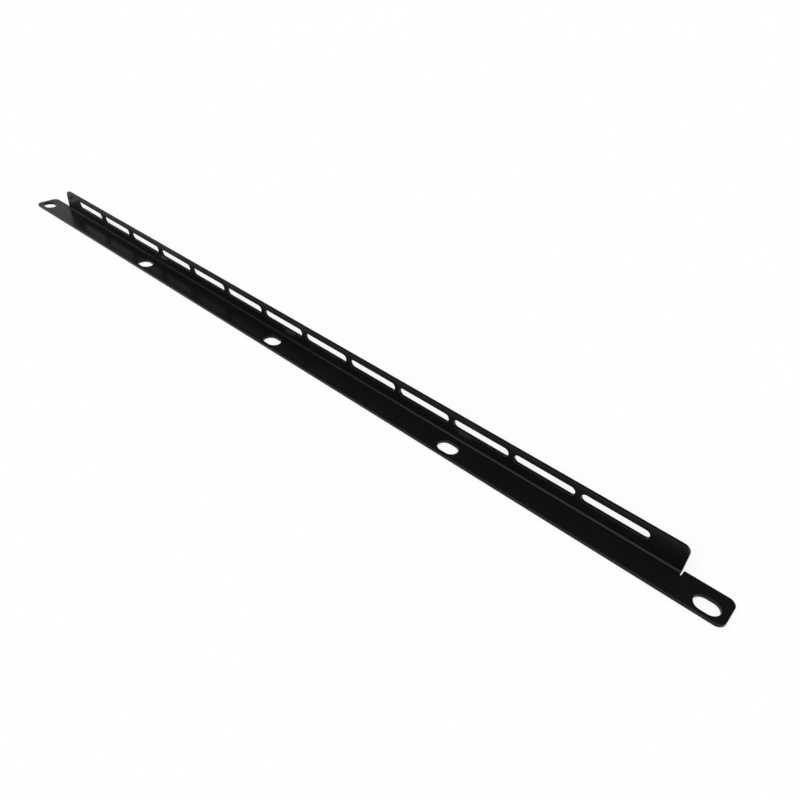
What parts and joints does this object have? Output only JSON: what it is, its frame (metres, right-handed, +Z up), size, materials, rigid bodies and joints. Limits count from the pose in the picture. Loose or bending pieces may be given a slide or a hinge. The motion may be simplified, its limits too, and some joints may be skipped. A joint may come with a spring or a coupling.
{
  "type": "rack cable lacing bar",
  "caption": "Slotted L-section steel bar with rack tabs, screwed across a rack so that cable bundles can be tied to it.",
  "frame": {"origin": "middle of the bar's footprint, on the plane of the plate's underside", "axes": "+X along the bar, +Y from the plate's free front edge to the tie wall, +Z up out of the plate, the way the tie wall stands"},
  "size_m": [0.481, 0.0144, 0.0137],
  "materials": {
    "black_powder_coat": "satin black powder coat"
  },
  "bodies": {
    "root": {"lacing_bar": "black_powder_coat"}
  },
  "joints": []
}
